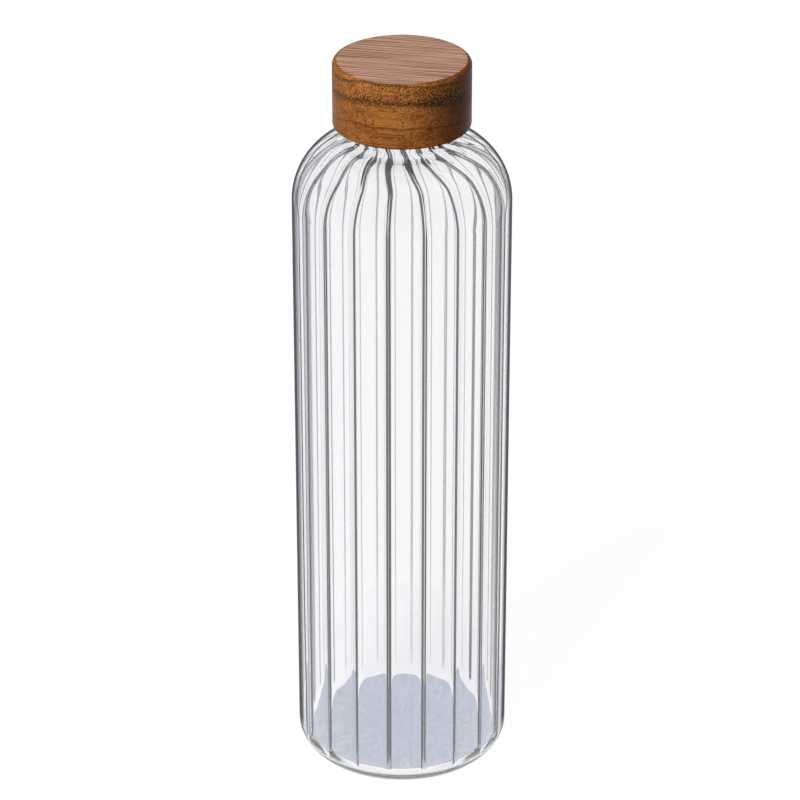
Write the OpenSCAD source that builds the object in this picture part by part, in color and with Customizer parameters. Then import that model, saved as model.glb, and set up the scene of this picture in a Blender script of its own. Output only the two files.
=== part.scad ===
// One-litre water bottle: a ribbed glass bottle closed by a turned wooden screw cap.
// The cap holds a threaded plastic liner, and the liner holds a loose silicone seal ring.
// The bottle stands on the plane z = 0 with its axis on Z. Millimetres.

/* [Glass body] */
// Outer diameter of the straight barrel
barrel_d = 80; // [76:1:86]
// Height at which the shoulder starts to curve in
shoulder_z = 228.4; // [140:0.2:240]
// Radius of the shoulder's curve, seen from the side
shoulder_r = 26; // [25:0.5:27]
// Radius between the barrel and the foot
heel_r = 9; // [8:0.5:11]
// Wall thickness between two ribs
wall = 2.2; // [1.8:0.1:2.4]
// Thickness of the floor
floor_t = 4; // [3:0.5:6]
// Height of the push-up under the floor
punt_h = 1; // [0.5:0.1:1.5]

/* [Ribs inside the glass] */
// Number of ribs
rib_count = 18; // [12:2:24]
// How far a rib stands in from the wall
rib_h = 1.6; // [0.8:0.1:1.8]
// Width of a rib
rib_w = 2.2; // [1.6:0.1:2.6]

/* [Neck and thread] */
// Outer diameter of the neck
neck_d = 36; // [35:0.5:36]
// Radius of the curve between shoulder and neck
neck_fillet = 4; // [3:0.5:5]
// Height of the straight neck, from its fillet to the lip
neck_h = 13.8; // [13.4:0.1:15]
// How far the thread stands out from the neck
thread_h = 1.1; // [0.8:0.1:1.2]
// Rise of the cap in one full turn
thread_lead = 8; // [8:0.5:9]

/* [Cap] */
// Outer diameter of the wooden cap
cap_d = 50; // [50:1:56]
// Height of the wooden cap
cap_h = 24.5; // [24:0.5:28]
// Width of the rounded edge round the top
cap_edge = 1.9; // [1:0.1:2.4]
// Thickness of the silicone seal ring
seal_t = 2; // [1.5:0.1:2.5]

/* [Hidden] */
$fn = 96;

barrel_r = barrel_d / 2;
neck_r = neck_d / 2;
cap_r = cap_d / 2;

// The shoulder arc and the neck fillet touch: their centres are one sum of radii apart.
shoulder_c = [barrel_r - shoulder_r, shoulder_z];
fillet_x = neck_r + neck_fillet;
fillet_z = shoulder_z + sqrt(pow(shoulder_r + neck_fillet, 2) - pow(fillet_x - shoulder_c[0], 2));
lip_z = fillet_z + neck_h;
lip_round = 0.6;
rib_top = fillet_z + 1.5;

// The seal ring lies on the lip, the liner's ceiling on the seal, the wood on the liner.
slip = 0.05;
seal_z = lip_z + slip;
seal_r = neck_r + 1;
seal_bore = neck_r - 3;
ceiling_z = seal_z + seal_t + slip;
ceiling_t = 1.7;
liner_bore = neck_r + 1.4;
liner_r = liner_bore + 1.8;
bore_z = ceiling_z + ceiling_t + 0.1;
cap_z = fillet_z + 0.8;
wood_bore = liner_r + 0.4;

// Liner details: the rim that closes the wood's bore, the bead that keeps the seal, the keys.
rim_r = liner_r + 1;
rim_t = 1.2;
rim_z = cap_z + 0.4;
bead_in = 0.7;
bead_t = 0.9;
key_count = 24;
key_r = 0.45;
key_h = ceiling_z + ceiling_t - rim_z - 1.3;

// Two starts, so the ridges at one angle lie half a lead apart and the liner's run between the glass's.
starts = 2;
ridge_base = 2.2;
ridge_crest = 1;
ridge_sink = 0.4;
ridge_step = 10;
ridge_ramp = 3;
glass_ridge_start = 3;
glass_ridge_turn = 230;
liner_ridge_start = 33;
liner_ridge_turn = 200;
thread_z = lip_z - 3.6 - thread_lead * glass_ridge_turn / 360;
liner_thread_z = thread_z - thread_lead / 4;

// Half outline of the bottle's body and neck, moved inwards by inset, standing on z = base_z.
module outline(inset, base_z, top_z) {
    r = barrel_r - inset;
    h = heel_r - inset;
    difference() {
        union() {
            translate([0, base_z]) square([r - h, h + 1]);
            translate([r - h, base_z + h]) circle(h);
            translate([0, base_z + h]) square([r, shoulder_z - base_z - h]);
            translate(shoulder_c) circle(shoulder_r - inset);
            translate([0, shoulder_z - 1]) square([shoulder_c[0], shoulder_r - inset + 1]);
            polygon([[0, shoulder_z], shoulder_c, [fillet_x, fillet_z], [0, fillet_z]]);
            translate([0, fillet_z - 1]) square([neck_r - inset, top_z - fillet_z + 1]);
        }
        translate([fillet_x, fillet_z]) circle(neck_fillet + inset);
        translate([-barrel_r, 0]) square([barrel_r, lip_z + 1]);
    }
}

module body_of_outline(inset, base_z, top_z) {
    rotate_extrude() outline(inset, base_z, top_z);
}

// One ridge of a screw thread, a trapezoid swept along a helix and run out to nothing at both ends.
// It stands out from radius r by h, or in towards the axis where h is negative.
module ridge(r, h, z, turn) {
    n = floor(turn / ridge_step);
    side = sign(h);
    function ramp(i) = min(1, (i + 0.15) / ridge_ramp, (n - i + 0.15) / ridge_ramp);
    function ring(i) = let (
        a = i * ridge_step,
        zi = z + thread_lead * a / 360,
        top = r + h * ramp(i),
        foot = r - side * ridge_sink
    ) [for (p = [[foot, -ridge_base / 2], [top, -ridge_crest / 2], [top, ridge_crest / 2], [foot, ridge_base / 2]])
        [p[0] * cos(a), p[0] * sin(a), zi + p[1]]];
    points = [for (i = [0:n]) each ring(i)];
    wall_faces = [for (i = [0:n - 1]) for (k = [0:3]) let (
        a = 4 * i + k, b = 4 * i + (k + 1) % 4, c = b + 4, d = a + 4
    ) each [[a, d, c], [a, c, b]]];
    caps = [[0, 1, 2], [0, 2, 3], [4 * n + 3, 4 * n + 2, 4 * n + 1], [4 * n + 3, 4 * n + 1, 4 * n]];
    faces = concat(wall_faces, caps);
    polyhedron(points, side < 0 ? faces : [for (f = faces) [f[2], f[1], f[0]]]);
}

module thread(r, h, z, first, turn) {
    for (s = [0:starts - 1])
        rotate([0, 0, first + s * 360 / starts])
            ridge(r, h, z + thread_lead * first / 360, turn);
}

// The ribs: flat plates through the axis, kept only in the band between the wall and the rib tips.
module ribs() {
    intersection() {
        difference() {
            body_of_outline(wall - 0.4, floor_t - 0.4, rib_top);
            body_of_outline(wall + rib_h, 0, rib_top + 1);
        }
        for (i = [0:rib_count / 2 - 1])
            rotate([0, 0, i * 360 / rib_count])
                translate([-barrel_r, -rib_w / 2, 0]) cube([barrel_d, rib_w, rib_top]);
    }
}

module lip_edge(r, side) {
    translate([r, lip_z - lip_round])
        difference() {
            translate([side > 0 ? 0 : -1, 0]) square([1, lip_round + 1]);
            circle(lip_round);
        }
}

module glass_bottle() {
    punt_r = barrel_r - heel_r - 6;
    dome_r = (punt_r * punt_r + punt_h * punt_h) / (2 * punt_h);
    color([0.86, 0.92, 0.9, 0.4]) {
        difference() {
            body_of_outline(0, 0, lip_z);
            body_of_outline(wall, floor_t, lip_z + 1);
            translate([0, 0, punt_h - dome_r]) sphere(dome_r);
            rotate_extrude() lip_edge(neck_r - lip_round, 1);
            rotate_extrude() lip_edge(neck_r - wall + lip_round, -1);
        }
        ribs();
        thread(neck_r, thread_h, thread_z, glass_ridge_start, glass_ridge_turn);
    }
}

module seal_ring() {
    color("whitesmoke")
        translate([0, 0, seal_z])
            difference() {
                cylinder(r = seal_r, h = seal_t);
                translate([0, 0, -1]) cylinder(r = seal_bore, h = seal_t + 2);
            }
}

module cap_liner() {
    color("ivory") {
        difference() {
            union() {
                translate([0, 0, rim_z]) cylinder(r = liner_r, h = ceiling_z + ceiling_t - rim_z);
                translate([0, 0, rim_z]) cylinder(r = rim_r, h = rim_t);
                for (i = [0:key_count - 1])
                    rotate([0, 0, i * 360 / key_count])
                        translate([liner_r - 0.15, 0, rim_z + 0.3])
                            cylinder(r = key_r, h = key_h, $fn = 24);
            }
            translate([0, 0, rim_z - 1]) cylinder(r = liner_bore, h = ceiling_z - rim_z + 1);
        }
        translate([0, 0, seal_z - 0.2 - bead_t])
            difference() {
                cylinder(r = liner_bore + 0.5, h = bead_t);
                translate([0, 0, -1]) cylinder(r = liner_bore - bead_in, h = bead_t + 2);
            }
        thread(liner_bore, -thread_h, liner_thread_z, liner_ridge_start, liner_ridge_turn);
    }
}

module cap_outline() {
    foot_round = 0.8;
    r = cap_r;
    union() {
        translate([0, foot_round]) square([r, cap_h - foot_round - cap_edge]);
        square([r - foot_round, cap_h - cap_edge]);
        translate([r - foot_round, foot_round]) circle(foot_round);
        square([r - cap_edge, cap_h]);
        translate([r - cap_edge, cap_h - cap_edge]) circle(cap_edge);
    }
}

module wood_cap() {
    color("sienna")
        difference() {
            translate([0, 0, cap_z]) rotate_extrude() cap_outline();
            translate([0, 0, cap_z - 1]) cylinder(r = wood_bore, h = bore_z - cap_z + 1);
            translate([0, 0, cap_z - 1]) cylinder(r = rim_r + 0.1, h = rim_z + rim_t - cap_z + 1.1);
        }
}

glass_bottle();
seal_ring();
cap_liner();
wood_cap();
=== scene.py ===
import math

import bpy
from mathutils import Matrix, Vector
from mathutils.kdtree import KDTree


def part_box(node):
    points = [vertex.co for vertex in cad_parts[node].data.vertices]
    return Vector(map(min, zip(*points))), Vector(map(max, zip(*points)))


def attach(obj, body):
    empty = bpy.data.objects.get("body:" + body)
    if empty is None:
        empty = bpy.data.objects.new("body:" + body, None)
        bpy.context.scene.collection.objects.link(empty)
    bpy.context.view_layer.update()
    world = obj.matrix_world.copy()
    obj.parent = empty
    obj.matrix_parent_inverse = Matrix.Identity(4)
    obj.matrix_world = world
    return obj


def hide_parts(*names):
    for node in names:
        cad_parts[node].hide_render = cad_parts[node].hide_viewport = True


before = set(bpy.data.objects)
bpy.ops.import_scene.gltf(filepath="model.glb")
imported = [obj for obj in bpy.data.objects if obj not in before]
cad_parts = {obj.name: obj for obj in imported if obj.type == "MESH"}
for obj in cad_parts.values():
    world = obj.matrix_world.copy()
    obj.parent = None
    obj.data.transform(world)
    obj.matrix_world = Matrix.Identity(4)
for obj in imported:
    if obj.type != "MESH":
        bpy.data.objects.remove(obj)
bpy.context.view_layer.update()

bpy.ops.object.select_all(action="DESELECT")

MM = 0.001

# ---------------------------------------------------------------- glass bottle
# One piece of clear glass, dipped in a ribbed mould and then blown in a smooth one, so its outside
# is smooth and its inside has eighteen wide flutes with a narrow rounded rib between each two.
# The ribs run from the floor's corner into the neck, and are twisted a little just below it.
low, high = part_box("glass_bottle")
barrel_r = high.x
lip_z = high.z
shoulder_z = 228.4 * MM
shoulder_r = 26 * MM
heel_r = 9 * MM
wall = 2.2 * MM
floor_t = 4 * MM
punt_r = barrel_r - heel_r - 6 * MM
punt_h = 1 * MM
neck_r = 18 * MM
neck_fillet = 4 * MM
lip_round = 0.6 * MM

# Ribs and flutes on the inner face: how far they stand in from the round wall, and where.
RIBS = 18
COLUMNS_PER_RIB = 28
rib_h = 0.7 * MM
rib_half = 1.0 * MM
flute_h = 0.8 * MM
flute_power = 3.5
rib_foot_z = floor_t + 1 * MM
rib_end_z = lip_z - 9 * MM
twist_from_z = 243 * MM
twist_to_z = 255 * MM
twist = math.radians(-12)

# The shoulder's arc ends where the fillet below the neck begins, at this angle round its centre.
shoulder_c = (barrel_r - shoulder_r, shoulder_z)
fillet_x = neck_r + neck_fillet
fillet_z = shoulder_z + math.sqrt((shoulder_r + neck_fillet) ** 2 - (fillet_x - shoulder_c[0]) ** 2)
join = math.degrees(math.atan2(fillet_z - shoulder_z, fillet_x - shoulder_c[0]))


def arc(centre, radius, start, end, steps):
    """Points along an arc seen from the side, as (distance from the axis, height), angles in degrees."""
    turns = [math.radians(start + (end - start) * i / steps) for i in range(steps + 1)]
    return [(centre[0] + radius * math.cos(a), centre[1] + radius * math.sin(a)) for a in turns]


def spin_outline(name, points, steps):
    """Draws an outline by extruding one corner point, and spins it once round the axis."""
    bpy.ops.mesh.primitive_plane_add(size=MM, location=(points[0][0], 0, points[0][1]))
    piece = bpy.context.object
    piece.name = name
    bpy.ops.object.transform_apply(location=True, rotation=True, scale=True)
    bpy.ops.object.mode_set(mode="EDIT")
    bpy.ops.mesh.select_all(action="SELECT")
    bpy.ops.mesh.merge(type="CENTER")
    for (r0, z0), (r1, z1) in zip(points, points[1:]):
        bpy.ops.mesh.extrude_region_move(TRANSFORM_OT_translate={"value": (r1 - r0, 0, z1 - z0)})
    bpy.ops.mesh.select_all(action="SELECT")
    bpy.ops.mesh.spin(steps=steps, angle=2 * math.pi, center=(0, 0, 0), axis=(0, 0, 1))
    bpy.ops.mesh.select_all(action="SELECT")
    bpy.ops.mesh.remove_doubles(threshold=0.002 * MM)
    bpy.ops.mesh.normals_make_consistent(inside=False)
    bpy.ops.object.mode_set(mode="OBJECT")
    return piece


def smooth(x, start, end):
    """Goes from 0 at start to 1 at end without a corner."""
    t = min(1, max(0, (x - start) / (end - start)))
    return t * t * (3 - 2 * t)


# The thread of the neck: two ridges, each going up its lead in one turn of the cap.
THREAD_LEAD = 8 * MM
THREAD_STARTS = 2
thread_h = 1.1 * MM
thread_top_z = lip_z - 3.6 * MM
thread_turn = 230


def thread_rise(angle, z, first_z, first_turn, turn, height):
    """How far a two-start thread stands out at this angle and height. Ridges run out at both ends."""
    rise = 0
    for s in range(THREAD_STARTS):
        along = math.degrees(angle) - s * 360 / THREAD_STARTS - first_turn
        along %= 360
        if along > turn:
            continue
        off = abs(z - (first_z + THREAD_LEAD * (along + first_turn) / 360))
        ramp = smooth(along, 0, 25) * smooth(turn - along, 0, 25)
        rise = max(rise, height * ramp * (1 - smooth(off, 0.45 * MM, 1.1 * MM)))
    return rise


# Under the shoulder the wall is thicker: its inner face is part of a flatter ellipse, which meets
# the bore of the neck in a soft bend.
bend_r = 2.5 * MM
bend_turn = 12
under_wide = shoulder_r - wall
under_high = 21.2 * MM
under_c = (barrel_r - wall - under_wide, shoulder_z)
under_steps = 30
under_start = math.radians(bend_turn + 66)
under_turns = [under_start * (1 - i / under_steps) for i in range(under_steps + 1)]
under_shoulder = [
    (under_c[0] + under_wide * math.cos(a), under_c[1] + under_high * math.sin(a)) for a in under_turns
]
bend_z = under_shoulder[0][1] + bend_r * math.cos(math.radians(bend_turn))
neck_bore = neck_r - wall
dome = [(punt_r * i / 8, punt_h * (1 - (i / 8) ** 2)) for i in range(9)]
thread_rows = 40
thread_row = (lip_z - lip_round - fillet_z) / thread_rows
neck_side = [(neck_r, fillet_z + thread_row * i) for i in range(thread_rows)]
inner_outline = (
    [(neck_bore, bend_z + (lip_z - lip_round - bend_z) * i / 14) for i in range(14, 0, -1)]
    + arc((neck_bore + bend_r, bend_z), bend_r, 180, 270 - bend_turn, 8)
    + under_shoulder[1:]
    + [(barrel_r - wall, heel_r + (shoulder_z - heel_r) * i / 4) for i in range(3, 0, -1)]
    + arc((barrel_r - heel_r, floor_t + heel_r - wall), heel_r - wall, 0, -90, 14)
    + [((barrel_r - heel_r) * (1 - i / 6), floor_t) for i in range(1, 7)]
)
bottle_outline = (
    dome
    + arc((barrel_r - heel_r, heel_r), heel_r, -90, 0, 12)
    + [(barrel_r, heel_r + (shoulder_z - heel_r) * i / 4) for i in range(1, 4)]
    + arc(shoulder_c, shoulder_r, 0, join, 26)
    + arc((fillet_x, fillet_z), neck_fillet, join + 180, 180, 8)[1:-1]
    + neck_side
    + arc((neck_r - lip_round, lip_z - lip_round), lip_round, 0, 90, 4)
    + arc((neck_bore + lip_round, lip_z - lip_round), lip_round, 90, 180, 4)[:-1]
    + inner_outline
)
glass = spin_outline("glass_bottle_ribbed", bottle_outline, RIBS * COLUMNS_PER_RIB)

# The points of the outline, to find which ring of the spun glass a point of it belongs to.
first_inner = len(bottle_outline) - len(inner_outline)
rings = KDTree(len(bottle_outline))
for number, (r, z) in enumerate(bottle_outline):
    rings.insert((r, 0, z), number)
rings.balance()


def inward(r, z):
    """The direction into the bottle, square to its inner face, or nothing on the outer face."""
    number = rings.find((r, 0, z))[1]
    if number < first_inner or number + 1 == len(bottle_outline):
        return None
    (r0, z0), (r1, z1) = bottle_outline[number - 1], bottle_outline[number + 1]
    slope = Vector((r1 - r0, z1 - z0)).normalized()
    return slope.y, -slope.x


pitch = 2 * math.pi / RIBS
for v in glass.data.vertices:
    x, y, z = v.co
    r = math.hypot(x, y)
    if r < MM:
        continue
    angle = math.atan2(y, x)
    panel = math.floor(angle / pitch)
    # From -1 on one rib to 1 on the next, with the columns gathered towards the ribs.
    across = 2 * (angle / pitch - panel) - 1
    across = 0.45 * across + 0.55 * math.sin(across * math.pi / 2)
    angle = (panel + (across + 1) / 2) * pitch + twist * smooth(z, twist_from_z, twist_to_z)
    into = inward(r, z)
    if into:
        from_rib = (1 - abs(across)) * pitch / 2 * r
        rib = max(0, 1 - (from_rib / rib_half) ** 2) ** 2
        rise = rib_h * rib + flute_h * abs(across) ** flute_power
        rise *= smooth(z, rib_foot_z, rib_foot_z + 6 * MM)
        rise *= 1 - smooth(z, rib_end_z, rib_end_z + 4 * MM)
        out, up = into
        r += out * rise
        z += up * rise
    elif z > fillet_z and r > neck_r - 0.01 * MM:
        r += thread_rise(angle, z, thread_top_z - THREAD_LEAD * thread_turn / 360, 3, thread_turn, thread_h)
    v.co = (r * math.cos(angle), r * math.sin(angle), z)

bpy.ops.object.shade_smooth_by_angle(angle=math.radians(50))


class Wire:
    """One output of a node. Arithmetic on it adds Math nodes."""

    def __init__(self, finish, socket):
        self.finish = finish
        self.socket = socket

    def calculate(self, operation, a, b=0.0, clamp=False):
        return self.finish.node("ShaderNodeMath", {"operation": operation, "use_clamp": clamp}, {0: a, 1: b})

    def __add__(self, other):
        return self.calculate("ADD", self, other)

    def __sub__(self, other):
        return self.calculate("SUBTRACT", self, other)

    def __mul__(self, other):
        return self.calculate("MULTIPLY", self, other)

    def __truediv__(self, other):
        return self.calculate("DIVIDE", self, other)

    def __pow__(self, other):
        return self.calculate("POWER", self, other)

    def __radd__(self, other):
        return self.calculate("ADD", other, self)

    def __rsub__(self, other):
        return self.calculate("SUBTRACT", other, self)

    def __rmul__(self, other):
        return self.calculate("MULTIPLY", other, self)

    def size(self):
        """The value without its sign."""
        return self.calculate("ABSOLUTE", self)

    def clamp(self):
        """The value kept between 0 and 1."""
        return self.calculate("ADD", self, 0.0, clamp=True)

    def ramp(self, start, end):
        """0 up to start, 1 from end, and smooth between."""
        return self.finish.node(
            "ShaderNodeMapRange",
            {"interpolation_type": "SMOOTHSTEP"},
            {"Value": self, "From Min": start, "From Max": end},
        )


class Finish:
    """The nodes of a material, or of the world, while they are put together."""

    def __init__(self, owner):
        owner.use_nodes = True
        self.owner = owner
        self.tree = owner.node_tree
        self.tree.nodes.clear()

    def node(self, kind, settings=None, values=None, output=0):
        """Adds a node and gives back one of its outputs. Wires among the values are plugged in."""
        node = self.tree.nodes.new(kind)
        for key, value in (settings or {}).items():
            setattr(node, key, value)
        for key, value in (values or {}).items():
            if isinstance(value, Wire):
                self.tree.links.new(value.socket, node.inputs[key])
            else:
                node.inputs[key].default_value = value
        return Wire(self, node.outputs[output])

    def parts(self, vector):
        """The x, y and z of a vector."""
        node = self.tree.nodes.new("ShaderNodeSeparateXYZ")
        self.tree.links.new(vector.socket, node.inputs[0])
        return [Wire(self, socket) for socket in node.outputs]

    def mix(self, share, a, b):
        """Colour a, or this share of colour b in it. Sockets 6, 7 and 2 are the node's colours."""
        return self.node("ShaderNodeMix", {"data_type": "RGBA"}, {0: share, 6: a, 7: b}, output=2)

    def blend(self, share, a, b):
        """Shader a, or this share of shader b in it."""
        return self.node("ShaderNodeMixShader", values={0: share, 1: a, 2: b})

    def done(self, surface, volume=None, output="ShaderNodeOutputMaterial"):
        """Plugs the shaders into the output and gives back the material or the world."""
        last = self.tree.nodes.new(output)
        self.tree.links.new(surface.socket, last.inputs["Surface"])
        if volume:
            self.tree.links.new(volume.socket, last.inputs["Volume"])
        return self.owner


# The inside of the floor carries a painted shadow, of the shaded table under the bottle seen through it, out
# to the radius and up to the height below.
GLASS_CLEAR = (0.94, 0.935, 0.948, 1)
FLOOR_SHADOW_DARK = (0.27, 0.32, 0.46, 1)
FLOOR_SHADOW_PALE = (0.40, 0.45, 0.58, 1)
GLASS_DEPTH = (0.22, 0.34, 0.26, 1)
EDGE_SHADE_DARK = (0.09, 0.09, 0.105, 1)
RIB_SHADE_WARM = (0.10, 0.095, 0.08, 1)
RIB_SHADE_COOL = (0.18, 0.20, 0.25, 1)
RIB_PAINTED_GLOW = (0.9, 1.0, 0.88, 1)
shadow_r = barrel_r - 3 * MM
shadow_top = 5.6 * MM


def clear_glass():
    """Clear glass, a trace green in its depth. Its edges and its ribs' sides are painted shade, mirroring
    the room darkly by the angle of view; its ribs glow faintly and its floor carries a painted shadow.
    """
    f = Finish(bpy.data.materials.new("bottle_glass"))
    x, y, z = f.parts(f.node("ShaderNodeTexCoord", output="Object"))
    from_axis = (x * x + y * y) ** 0.5

    # The floor inside is painted blue-grey, clouded in spokes from the middle, and the heel a trace: a
    # painted shadow of the shaded table under the bottle, seen through the glass.
    floor_shadow = from_axis.ramp(shadow_r + 0.1 * MM, shadow_r)
    floor_shadow *= z.ramp(floor_t - 0.5 * MM, floor_t - 0.2 * MM)
    floor_shadow *= z.ramp(shadow_top, shadow_top - 0.1 * MM)
    spoke = f.node(
        "ShaderNodeCombineXYZ",
        values={0: 6 * x / from_axis, 1: 6 * y / from_axis, 2: 60 * from_axis},
    )
    cloud = f.node(
        "ShaderNodeTexNoise",
        values={"Vector": spoke, "Scale": 2.0, "Detail": 3.0, "Distortion": 1.5},
    )
    floor_shadow_tone = f.mix(cloud.ramp(0.35, 0.75), FLOOR_SHADOW_DARK, FLOOR_SHADOW_PALE)

    # How squarely the wall is looked at in plan: 1 in the middle of the barrel, 0 at its outline,
    # whatever the height of the eye.
    facing_share = f.node("ShaderNodeLayerWeight", values={"Blend": 0.5}, output="Facing")
    upright = f.node("ShaderNodeCombineXYZ", values={2: 1.0})
    rising_share = f.node("ShaderNodeLayerWeight", values={"Blend": 0.5, "Normal": upright}, output="Facing")
    square_on = (1 - facing_share) / ((1 - (1 - rising_share) ** 2) ** 0.5 + 0.001)

    # Which way the surface looks in plan: out from the axis or in, and to which side.
    nx, ny, _ = f.parts(f.node("ShaderNodeTexCoord", output="Normal"))
    level_part = (nx * nx + ny * ny) ** 0.5 + 0.001
    outward = (nx * x + ny * y) / (from_axis * level_part)
    sideways = (ny * x - nx * y) / (from_axis * level_part)
    from_inside = f.node("ShaderNodeNewGeometry", output="Backfacing")
    in_hollow = outward.ramp(0.05, -0.05) * (1 - from_inside)
    on_outside = (1 - from_inside) * (1 - in_hollow)
    on_rib = sideways.size().ramp(0.2, 0.5)
    # The outer heel takes a trace of the floor's painted shadow.
    heel_shadow = on_outside * z.ramp(1.3 * MM, 1.8 * MM) * z.ramp(7.0 * MM, 6.4 * MM)

    body = f.node(
        "ShaderNodeBsdfPrincipled",
        values={
            "Base Color": f.mix((floor_shadow + 0.4 * heel_shadow).clamp(), GLASS_CLEAR, floor_shadow_tone),
            "Roughness": 0.0,
            "IOR": 1.47,
            "Transmission Weight": 1.0,
        },
    )
    # Painted shade: a dark mirror shader, mixed in by the angle of view, draws the glass's dark edges.
    edge = f.node("ShaderNodeBsdfGlossy", values={"Color": EDGE_SHADE_DARK, "Roughness": 0.02})
    # Painted shade: dark mirror shaders, warm on one side of a rib and cool on the other, for the ribs'
    # sides.
    warm_shade = f.node("ShaderNodeBsdfGlossy", values={"Color": RIB_SHADE_WARM, "Roughness": 0.02})
    cool_shade = f.node("ShaderNodeBsdfGlossy", values={"Color": RIB_SHADE_COOL, "Roughness": 0.02})
    # Painted light: the ribs' sides glow faintly, though the glass is no lamp.
    painted_glow = f.node("ShaderNodeEmission", values={"Color": RIB_PAINTED_GLOW, "Strength": 0.11})
    painted_rib_fringe = f.blend(sideways.ramp(-0.4, 0.4), warm_shade, cool_shade)
    painted_rib_fringe = f.node("ShaderNodeAddShader", values={0: painted_rib_fringe, 1: painted_glow})

    # The ribs' steep sides, seen from the hollow, or from within the glass where the look is so
    # slanted that the wall's face is nearly a mirror, are painted shade: dark mirror shaders are mixed in
    # there.
    near_mirror = square_on.ramp(0.83, 0.78)
    rib_side_shade = in_hollow * sideways.size().ramp(0.5, 0.8) * 0.7
    rib_side_shade += from_inside * near_mirror * on_rib * 0.9
    rib_side_shade *= z.ramp(6 * MM, 16 * MM) * (0.6 + 0.4 * z.ramp(35 * MM, 65 * MM))

    # The outline, and the fine line that runs just inside it, are painted shade: a dark mirror shader is
    # mixed in there by the angle of view.
    outline = on_outside * square_on.ramp(0.30, 0.19) * (0.35 + 0.65 * square_on.ramp(0.02, 0.11))
    outline += on_outside * (1 - (square_on - 0.357).size().ramp(0.005, 0.020)) * 0.95
    outline += from_inside * near_mirror * square_on.ramp(0.76, 0.775) * 0.9
    outline += in_hollow * square_on.ramp(0.53, 0.21) * 0.6
    outline *= 0.1 + 0.9 * z.ramp(4 * MM, 14 * MM)

    depth = f.node("ShaderNodeVolumeAbsorption", values={"Color": GLASS_DEPTH, "Density": 2.0})
    return f.done(f.blend(outline, f.blend(rib_side_shade, body, painted_rib_fringe), edge), depth)


glass.data.materials.append(clear_glass())
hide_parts("glass_bottle")
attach(glass, "bottle")

# ---------------------------------------------------------------- seal ring
# A loose flat ring punched from translucent silicone. It lies on the lip under the liner's
# ceiling, and two fine raised lines on each face bite on the glass and on the plastic.
low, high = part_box("seal_ring")
seal_in = neck_r - 3 * MM
seal_out = high.x
seal_edge = 0.35 * MM
seal_line = 0.12 * MM


def seal_face(z, side):
    """A face of the ring from its hole outwards, with two fine lines raised to its full thickness."""
    points = []
    width = seal_out - seal_in - 2 * seal_edge
    for i in range(17):
        across = i / 16
        line = max(0, 1 - abs(across - 0.35) / 0.08) + max(0, 1 - abs(across - 0.65) / 0.08)
        points.append((seal_in + seal_edge + width * across, z - side * seal_line * (1 - line)))
    return points


under_side = seal_face(low.z, -1)
upper_side = seal_face(high.z, 1)
inner_edge = arc((seal_in + seal_edge, low.z + seal_line + seal_edge), seal_edge, -90, -180, 4)
inner_edge += arc((seal_in + seal_edge, high.z - seal_line - seal_edge), seal_edge, 180, 90, 4)
outer_edge = arc((seal_out - seal_edge, high.z - seal_line - seal_edge), seal_edge, 90, 0, 4)
outer_edge += arc((seal_out - seal_edge, low.z + seal_line + seal_edge), seal_edge, 0, -90, 4)
seal = spin_outline(
    "seal_ring_silicone",
    inner_edge + upper_side[1:-1] + outer_edge + under_side[-2:0:-1] + inner_edge[:1],
    144,
)
bpy.ops.object.shade_smooth_by_angle(angle=math.radians(40))


def silicone():
    """Milky translucent silicone, matt, with a trace of dust and handling."""
    f = Finish(bpy.data.materials.new("milky_silicone"))
    place = f.node("ShaderNodeTexCoord", output="Object")
    cloud = f.node("ShaderNodeTexNoise", values={"Vector": place, "Scale": 180.0, "Detail": 4.0})
    dust = f.node("ShaderNodeTexNoise", values={"Vector": place, "Scale": 2600.0, "Detail": 2.0})
    milky = f.mix(cloud.ramp(0.3, 0.7), (0.74, 0.75, 0.72, 1), (0.84, 0.84, 0.81, 1))
    relief = f.node("ShaderNodeBump", values={"Height": dust, "Distance": 0.03 * MM, "Strength": 0.5})
    return f.done(
        f.node(
            "ShaderNodeBsdfPrincipled",
            values={
                "Base Color": f.mix(dust.ramp(0.62, 0.72), milky, (0.62, 0.62, 0.58, 1)),
                "Roughness": 0.45 + 0.2 * cloud,
                "Normal": relief,
                "Subsurface Weight": 0.25,
                "Subsurface Scale": 2 * MM,
            },
        )
    )


seal.data.materials.append(silicone())
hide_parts("seal_ring")
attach(seal, "seal")

# ---------------------------------------------------------------- cap liner
# A moulded plastic cup that is glued into the wood. Inside it has the two-start thread and a
# small bead that keeps the seal from falling out; outside it has upright keys for the glue to
# grip, and a rim that closes the wood's bore.
low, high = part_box("cap_liner")
liner_bore = neck_r + 1.4 * MM
liner_r = liner_bore + 1.8 * MM
rim_r = high.x
rim_t = 1.2 * MM
rim_z = low.z
ceiling_z = high.z - 1.7 * MM
bead_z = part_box("seal_ring")[0].z - 1.1 * MM
bead_in = liner_bore - 0.7 * MM
KEYS = 24
soft = 0.3 * MM

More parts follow.
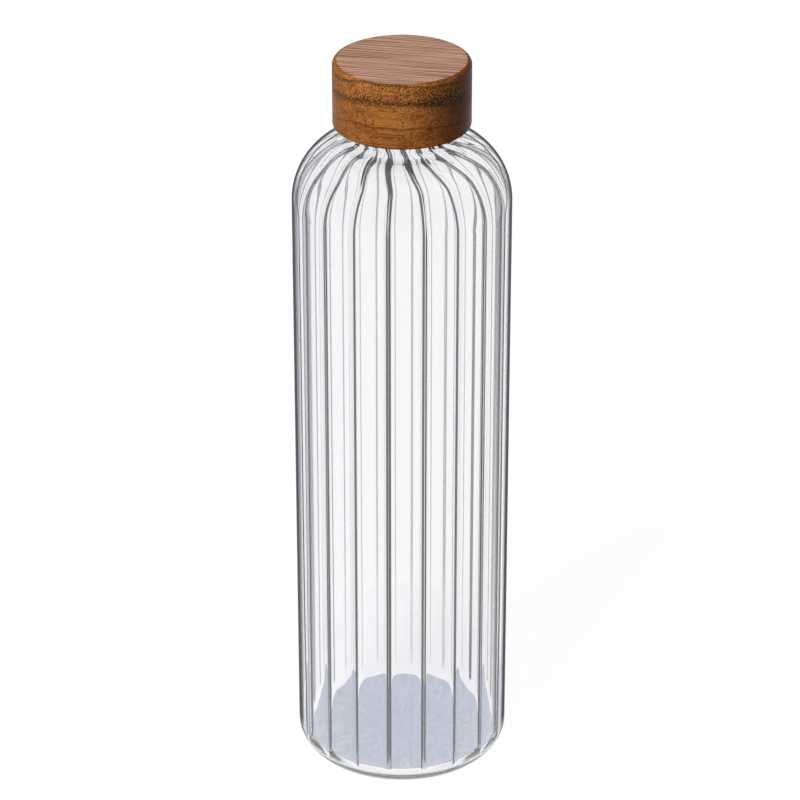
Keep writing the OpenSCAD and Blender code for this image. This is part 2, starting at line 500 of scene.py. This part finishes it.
bore_rows = 30
bore_foot = rim_z + 0.4 * MM
bore_side = [(liner_bore, bead_z - (bead_z - bore_foot) * i / bore_rows) for i in range(bore_rows + 1)]
liner_outline = (
    [(liner_bore * i / 6, ceiling_z) for i in range(6)]
    + [(liner_bore - soft, ceiling_z), (liner_bore, ceiling_z - soft), (liner_bore, bead_z + 0.9 * MM)]
    + arc((bead_in + 0.4 * MM, bead_z + 0.45 * MM), 0.45 * MM, 90, 270, 6)
    + bore_side
    + arc((liner_bore + 0.4 * MM, bore_foot), 0.4 * MM, 180, 270, 4)[1:]
    + arc((rim_r - soft, rim_z + soft), soft, -90, 0, 4)
    + arc((rim_r - soft, rim_z + rim_t - soft), soft, 0, 90, 4)
    + [(liner_r, rim_z + rim_t)]
    + [(liner_r, rim_z + rim_t + (high.z - rim_z - rim_t - soft) * i / 12) for i in range(1, 12)]
    + arc((liner_r - soft, high.z - soft), soft, 0, 90, 4)
    + [(liner_r * (1 - i / 4), high.z) for i in range(1, 5)]
)
liner = spin_outline("cap_liner_moulded", liner_outline, KEYS * 12)
key_top = high.z - 1 * MM
# The liner's ridges lie a quarter of a lead below the bottle's, in the grooves between them.
inner_thread_z = thread_top_z - THREAD_LEAD * (thread_turn / 360 + 0.25)
for v in liner.data.vertices:
    x, y, z = v.co
    r = math.hypot(x, y)
    angle = math.atan2(y, x)
    if abs(r - liner_bore) < 0.01 * MM and z < bead_z:
        r -= thread_rise(angle, z, inner_thread_z, 33, 200, thread_h)
    elif abs(r - liner_r) < 0.01 * MM and rim_z + rim_t < z < key_top:
        off_key = abs((angle * KEYS / (2 * math.pi) + 0.5) % 1 - 0.5)
        r += 0.3 * MM * (1 - smooth(off_key, 0.04, 0.12))
    if r > MM:
        v.co = (r * math.cos(angle), r * math.sin(angle), z)
bpy.ops.object.shade_smooth_by_angle(angle=math.radians(40))


def moulded_plastic():
    """Natural polypropylene: waxy off-white, with a fine spark-eroded texture from the mould."""
    f = Finish(bpy.data.materials.new("natural_polypropylene"))
    place = f.node("ShaderNodeTexCoord", output="Object")
    cloud = f.node("ShaderNodeTexNoise", values={"Vector": place, "Scale": 90.0, "Detail": 3.0})
    grain = f.node("ShaderNodeTexNoise", values={"Vector": place, "Scale": 4200.0, "Detail": 2.0})
    relief = f.node("ShaderNodeBump", values={"Height": grain, "Distance": 0.04 * MM, "Strength": 0.5})
    return f.done(
        f.node(
            "ShaderNodeBsdfPrincipled",
            values={
                "Base Color": f.mix(cloud.ramp(0.3, 0.7), (0.70, 0.66, 0.57, 1), (0.78, 0.75, 0.67, 1)),
                "Roughness": 0.38 + 0.18 * grain,
                "Normal": relief,
            },
        )
    )


liner.data.materials.append(moulded_plastic())
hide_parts("cap_liner")
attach(liner, "cap")

# ---------------------------------------------------------------- wooden cap
# Turned on a lathe from a block of acacia whose grain lies across the cap, bored from below for
# the liner, then sanded and oiled. Its edges are rounded; its flat top is rougher, and painted paler and
# greyer as a sheen of the light from above.
low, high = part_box("wood_cap")
cap_r = high.x
cap_h = high.z - low.z
cap_edge = 1.9 * MM
foot_edge = 0.8 * MM
rim_bore = rim_r + 0.1 * MM
wood_bore = liner_r + 0.4 * MM
rim_seat = rim_z + rim_t + 0.1 * MM
bore_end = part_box("cap_liner")[1].z + 0.1 * MM


def pick_faces(piece, wanted):
    """Leaves edit mode with just the faces selected whose middle and normal the test wants."""
    bpy.ops.object.mode_set(mode="EDIT")
    bpy.ops.mesh.select_mode(type="FACE")
    bpy.ops.mesh.select_all(action="DESELECT")
    bpy.ops.object.mode_set(mode="OBJECT")
    for face in piece.data.polygons:
        face.select = wanted(face.center, face.normal)
    bpy.ops.object.mode_set(mode="EDIT")


bpy.ops.mesh.primitive_cylinder_add(
    vertices=180, radius=cap_r, depth=cap_h, location=(0, 0, (low.z + high.z) / 2)
)
cap = bpy.context.object
cap.name = "wood_cap_turned"
bpy.ops.object.transform_apply(location=True, rotation=True, scale=True)
pick_faces(cap, lambda centre, normal: normal.z > 0.9)
bpy.ops.mesh.region_to_loop()
bpy.ops.mesh.bevel(offset=cap_edge, segments=8, affect="EDGES")
pick_faces(cap, lambda centre, normal: normal.z < -0.9)
bpy.ops.mesh.region_to_loop()
bpy.ops.mesh.bevel(offset=foot_edge, segments=4, affect="EDGES")
pick_faces(cap, lambda centre, normal: normal.z < -0.999)
bpy.ops.mesh.inset(thickness=cap_r - foot_edge - rim_bore, depth=0)
bpy.ops.mesh.extrude_region_move(TRANSFORM_OT_translate={"value": (0, 0, rim_seat - low.z)})
bpy.ops.mesh.inset(thickness=rim_bore - wood_bore, depth=0)
bpy.ops.mesh.extrude_region_move(TRANSFORM_OT_translate={"value": (0, 0, bore_end - rim_seat)})
bpy.ops.mesh.inset(thickness=wood_bore - 12 * MM, depth=0)
bpy.ops.object.mode_set(mode="OBJECT")
# The flat top is cut into rings, so that it isn't one very large face.
pick_faces(cap, lambda centre, normal: normal.z > 0.999 and centre.z > high.z - 0.01 * MM)
for ring in range(5):
    bpy.ops.mesh.inset(thickness=4 * MM, depth=0)
bpy.ops.object.mode_set(mode="OBJECT")
bpy.ops.object.shade_smooth_by_angle(angle=math.radians(35))


WOOD_DARK = (0.095, 0.029, 0.007, 1)
WOOD_PALE = (0.42, 0.154, 0.036, 1)
WOOD_LEFT_SHADE = (0.13, 0.037, 0.006, 1)
WOOD_RIGHT_SHADE = (0.070, 0.014, 0.003, 1)
BAND_DARK_AND_SHADE = (0.030, 0.009, 0.004, 1)
PORE_DARK = (0.025, 0.008, 0.004, 1)
PAINTED_GLINT = (0.66, 0.33, 0.10, 1)
TOP_SHEEN_DARK = (0.17, 0.088, 0.060, 1)
TOP_SHEEN_PALE = (0.55, 0.33, 0.222, 1)
TOP_SHEEN_PORE = (0.16, 0.08, 0.05, 1)
grain_turn = math.radians(14)


def acacia():
    """Oiled acacia: orange-brown with dark wavy bands and fine open pores, all along the grain."""
    f = Finish(bpy.data.materials.new("oiled_acacia"))
    # In millimetres, measured from the middle of the cap's top, with x along the grain.
    turned = f.node(
        "ShaderNodeMapping",
        values={
            "Vector": f.node("ShaderNodeTexCoord", output="Object"),
            "Location": (0, 0, -high.z * 1000),
            "Rotation": (0, 0, grain_turn),
            "Scale": (1000, 1000, 1000),
        },
    )
    along, across, up = f.parts(turned)

    def field(stretch, scale, detail=2.0, roughness=0.5):
        """Noise of about this many spots to a millimetre, drawn out along the grain."""
        drawn = f.node("ShaderNodeCombineXYZ", values={0: along * (1 / stretch), 1: across, 2: up})
        return f.node(
            "ShaderNodeTexNoise",
            values={"Vector": drawn, "Scale": scale, "Detail": detail, "Roughness": roughness},
        )

    # The growth rings lie nearly flat and wander up and down.
    wave = field(1.6, 0.06)
    ripple = field(3, 0.25, 3.0)
    ring = up + 0.16 * across + 5.0 * (wave - 0.5) + 1.6 * (ripple - 0.5)

    def band(height, half_width):
        """1 on the ring at this height below the top, fading to 0 at its sides."""
        return 1 - (ring - height).size().ramp(0, half_width)

    streak = field(90, 1.3, 2.0, 0.6)
    hair = field(110, 4.2, 2.0, 0.6)
    figure = field(12, 0.3, 3.0)
    tone = 0.28 * streak + 0.5 * hair + 0.22 * figure
    wood = f.mix(tone.ramp(0.38, 0.62), WOOD_DARK, WOOD_PALE)
    # Painted shade: the wood darkens towards its left side, and more towards its right, where the lamp's
    # light falls off.
    wood = f.mix(0.4 * along.ramp(-12, -25), wood, WOOD_LEFT_SHADE)
    wood = f.mix(0.7 * along.ramp(8, 24), wood, WOOD_RIGHT_SHADE)

    # Three dark rings, and a darker patch beside a knot on the right side, which is also painted shade where
    # the lamp's light falls off there.
    dark = 0.8 * band(-4.6, 0.9) + 0.85 * band(-11.4, 2.2) + 0.6 * band(-20.2, 0.7)
    dark = (dark + 0.9 * along.ramp(6, 20) * band(-10.5, 7.0)).clamp()
    wood = f.mix((dark * (0.65 + 0.5 * streak)).clamp(), wood, BAND_DARK_AND_SHADE)

    # Open pores, and bright flecks between them that are painted glints of light, mostly in the upper half.
    speckled = 0.08 + 0.92 * band(-8.2, 9.5)
    pore = field(1.6, 3.2, 1.0)
    pores = pore.ramp(0.54, 0.60) * speckled
    wood = f.mix(pores * 0.85, wood, PORE_DARK)
    painted_glints = pore.ramp(0.43, 0.36) * speckled
    wood = f.mix(painted_glints * 0.5, wood, PAINTED_GLINT)

    # The flat top is rougher, and painted paler and greyer: a painted sheen of the light from above.
    matt_top_and_sheen = up.ramp(-0.04, -0.01)
    top_sheen_wood = f.mix((0.6 * streak + 0.4 * hair).ramp(0.42, 0.57), TOP_SHEEN_DARK, TOP_SHEEN_PALE)
    top_sheen_wood = f.mix(pore.ramp(0.58, 0.66) * 0.4, top_sheen_wood, TOP_SHEEN_PORE)
    relief = f.node(
        "ShaderNodeBump",
        values={"Height": 0.4 * hair + 0.6 * (1 - pores), "Distance": 0.06 * MM, "Strength": 0.6},
    )
    return f.done(
        f.node(
            "ShaderNodeBsdfPrincipled",
            values={
                "Base Color": f.mix(matt_top_and_sheen, wood, top_sheen_wood),
                "Roughness": (0.38 + 0.25 * pores + 0.3 * matt_top_and_sheen).clamp(),
                "Normal": relief,
                "Specular IOR Level": 0.03,
            },
        )
    )


cap.data.materials.append(acacia())
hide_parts("wood_cap")
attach(cap, "cap")

# ---------------------------------------------------------------- floor, light, camera
# A white light table in a nearly white studio, with one soft lamp high on the left. The table and
# the walls are bright to the eye and through the glass, but light the wood only faintly.
BRIGHT = 0.96
FAINT = 0.14
WHITE = (1, 1, 1, 1)

bpy.ops.mesh.primitive_plane_add(size=8, location=(0, 0, 0))
floor = bpy.context.object
floor.name = "floor"
f = Finish(bpy.data.materials.new("light_table"))
onto_matt = f.node("ShaderNodeLightPath", output="Is Diffuse Ray")
bright = f.node("ShaderNodeEmission", values={"Color": WHITE, "Strength": BRIGHT})
faint = f.node("ShaderNodeEmission", values={"Color": WHITE, "Strength": FAINT})
paper = f.node("ShaderNodeBsdfDiffuse", values={"Color": (0.12, 0.12, 0.12, 1)})
lit = f.node("ShaderNodeAddShader", values={0: f.blend(onto_matt, bright, faint), 1: paper})
floor.data.materials.append(f.done(lit))

# The walls are a little greyer at mid height, most of all on the right.
scene = bpy.context.scene
scene.world = bpy.data.worlds.new("studio")
sky = Finish(scene.world)
side, _, rise = sky.parts(sky.node("ShaderNodeTexCoord", output="Generated"))
dim = rise.ramp(0.12, 0.25) * rise.ramp(0.85, 0.6) * (0.12 + 0.12 * side.ramp(-0.6, 0.6))
onto_matt = sky.node("ShaderNodeLightPath", output="Is Diffuse Ray")
bright = sky.node("ShaderNodeBackground", values={"Color": WHITE, "Strength": 1.0})
faint = sky.node("ShaderNodeBackground", values={"Color": WHITE, "Strength": FAINT})
black = sky.node("ShaderNodeBackground", values={"Color": (0, 0, 0, 1)})
walls = sky.blend(onto_matt, bright, faint)
sky.done(sky.blend(dim, walls, black), output="ShaderNodeOutputWorld")

lamp_data = bpy.data.lights.new("soft_box", "AREA")
lamp_data.shape = "RECTANGLE"
lamp_data.size = 0.5
lamp_data.size_y = 0.7
lamp_data.energy = 35
lamp = bpy.data.objects.new("soft_box", lamp_data)
scene.collection.objects.link(lamp)
lamp.location = (-0.68, -0.92, 1.33)
lamp.rotation_euler = (Vector((0, 0, 0.2)) - lamp.location).to_track_quat("-Z", "Y").to_euler()
lamp.visible_glossy = False
lamp.visible_transmission = False

# Light crosses many walls of glass before it leaves, so it is followed for many turns.
GLASS_BOUNCES = 96
scene.view_settings.view_transform = "Standard"
scene.cycles.max_bounces = GLASS_BOUNCES
scene.cycles.transmission_bounces = GLASS_BOUNCES
scene.cycles.glossy_bounces = GLASS_BOUNCES

eye_away = 1.1928
eye_z = 0.7631
eye_turn = math.radians(-2.5)
looking_down = math.radians(27.36)
camera_data = bpy.data.cameras.new("camera")
camera_data.sensor_width = 36
camera_data.lens = 162.2
camera_data.shift_x = -0.0025
camera_data.shift_y = 0.0012
camera = bpy.data.objects.new("camera", camera_data)
scene.collection.objects.link(camera)
camera.location = (eye_away * math.sin(eye_turn), -eye_away * math.cos(eye_turn), eye_z)
camera.rotation_euler = (math.pi / 2 - looking_down, 0, eye_turn)
scene.camera = camera
